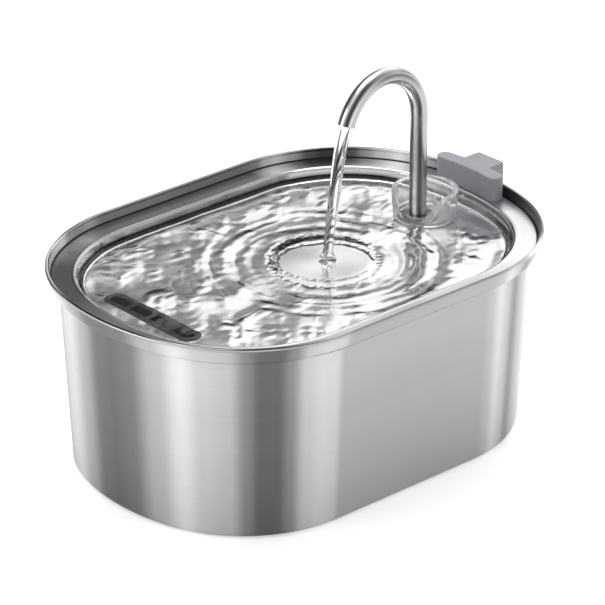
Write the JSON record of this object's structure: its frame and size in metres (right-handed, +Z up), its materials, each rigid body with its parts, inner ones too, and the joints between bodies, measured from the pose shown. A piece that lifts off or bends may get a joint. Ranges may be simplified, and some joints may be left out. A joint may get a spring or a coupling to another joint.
{
  "type": "pet water fountain",
  "caption": "Oval stainless steel pet water fountain with a drinking tray, a bent swivel faucet, a clear splash guard, a drain slot, and a pump and filter box inside the tank.",
  "frame": {"origin": "middle of the flat face the fountain rests on", "axes": "+Z up, +X along the oval's length towards the faucet and the cord block, +Y towards the back of the fountain when the faucet is on the right"},
  "size_m": [0.2643, 0.1872, 0.1862],
  "materials": {
    "tank_steel": "brushed along the walls",
    "tray_steel": "brushed flange, polished bead and basin",
    "faucet_steel": "polished stainless steel",
    "clear_plastic": "clear, polished",
    "strainer_plastic": "satin",
    "block_plastic": "fine matt texture",
    "block_rubber": "matt",
    "dark_silicone": "satin silicone",
    "clear_silicone": "milky silicone",
    "box_plastic": "smoky, half clear",
    "white_plastic": "satin",
    "carbon_felt": "felt bag of carbon granules",
    "foam": "open-cell foam",
    "pump_plastic": "satin",
    "dial_plastic": "satin",
    "impeller_plastic": "satin",
    "magnet": "sintered ferrite",
    "shaft_ceramic": "ground",
    "core_steel": "laminated electrical steel",
    "copper_wire": "enamelled copper wire",
    "circuit_board": "solder mask"
  },
  "bodies": {
    "tank": {"tank": "tank_steel", "base_pad": "dark_silicone", "filter_box": "box_plastic", "foam_block": "foam", "pump_housing": "pump_plastic", "stator_core": "core_steel", "stator_coils": "copper_wire", "driver_board": "circuit_board", "pump_back_cover": "pump_plastic", "pump_cord_gland": "dark_silicone", "impeller_shaft": "shaft_ceramic", "rear_shaft_bush": "dark_silicone", "suction_cups": "dark_silicone", "outlet_hose": "clear_silicone"},
    "tray": {"tray": "tray_steel", "tray_gasket": "dark_silicone", "drain_strainer": "strainer_plastic", "tray_grommet": "clear_silicone"},
    "cord_block": {"cord_block": "block_plastic", "cord_gland": "block_rubber"},
    "guard": {"splash_guard": "clear_plastic", "faucet_o_ring": "clear_silicone"},
    "faucet": {"faucet": "faucet_steel"},
    "filter_lid": {"filter_lid": "box_plastic"},
    "cartridge": {"cartridge_frame": "white_plastic", "carbon_pad": "carbon_felt", "cartridge_cover": "white_plastic"},
    "pump_cover": {"volute_cover": "pump_plastic", "cover_o_ring": "dark_silicone", "front_shaft_bush": "dark_silicone"},
    "flow_dial": {"flow_dial": "dial_plastic"},
    "impeller": {"impeller": "impeller_plastic", "rotor_magnet": "magnet"}
  },
  "joints": [
    {"name": "tray_lift", "type": "slide", "parent": "tank", "child": "tray", "axis": [0, 0, 1], "range_m": [0, 0.06]},
    {"name": "block_lift", "type": "slide", "parent": "tray", "child": "cord_block", "axis": [0, 0, 1], "range_m": [0, 0.02]},
    {"name": "guard_lift", "type": "slide", "parent": "tray", "child": "guard", "axis": [0, 0, 1], "range_m": [0, 0.025]},
    {"name": "faucet_swivel", "type": "hinge", "parent": "guard", "child": "faucet", "pos_m": [0.0827, 0, 0.1], "axis": [0, 0, 1], "range_deg": [-45, 45]},
    {"name": "filter_lid_lift", "type": "slide", "parent": "tank", "child": "filter_lid", "axis": [0, 0, 1], "range_m": [0, 0.028]},
    {"name": "cartridge_lift", "type": "slide", "parent": "filter_lid", "child": "cartridge", "axis": [0, 0, 1], "range_m": [0, 0.028]},
    {"name": "pump_cover_pull", "type": "slide", "parent": "tank", "child": "pump_cover", "axis": [0, -1, 0], "range_m": [0, 0.02]},
    {"name": "flow_dial_turn", "type": "hinge", "parent": "pump_cover", "child": "flow_dial", "pos_m": [0.0737, -0.0104, 0.027], "axis": [0, 1, 0], "range_deg": [0, 60]},
    {"name": "impeller_spin", "type": "hinge", "parent": "tank", "child": "impeller", "pos_m": [0.0737, 0.01, 0.027], "axis": [0, 1, 0], "continuous": true}
  ]
}
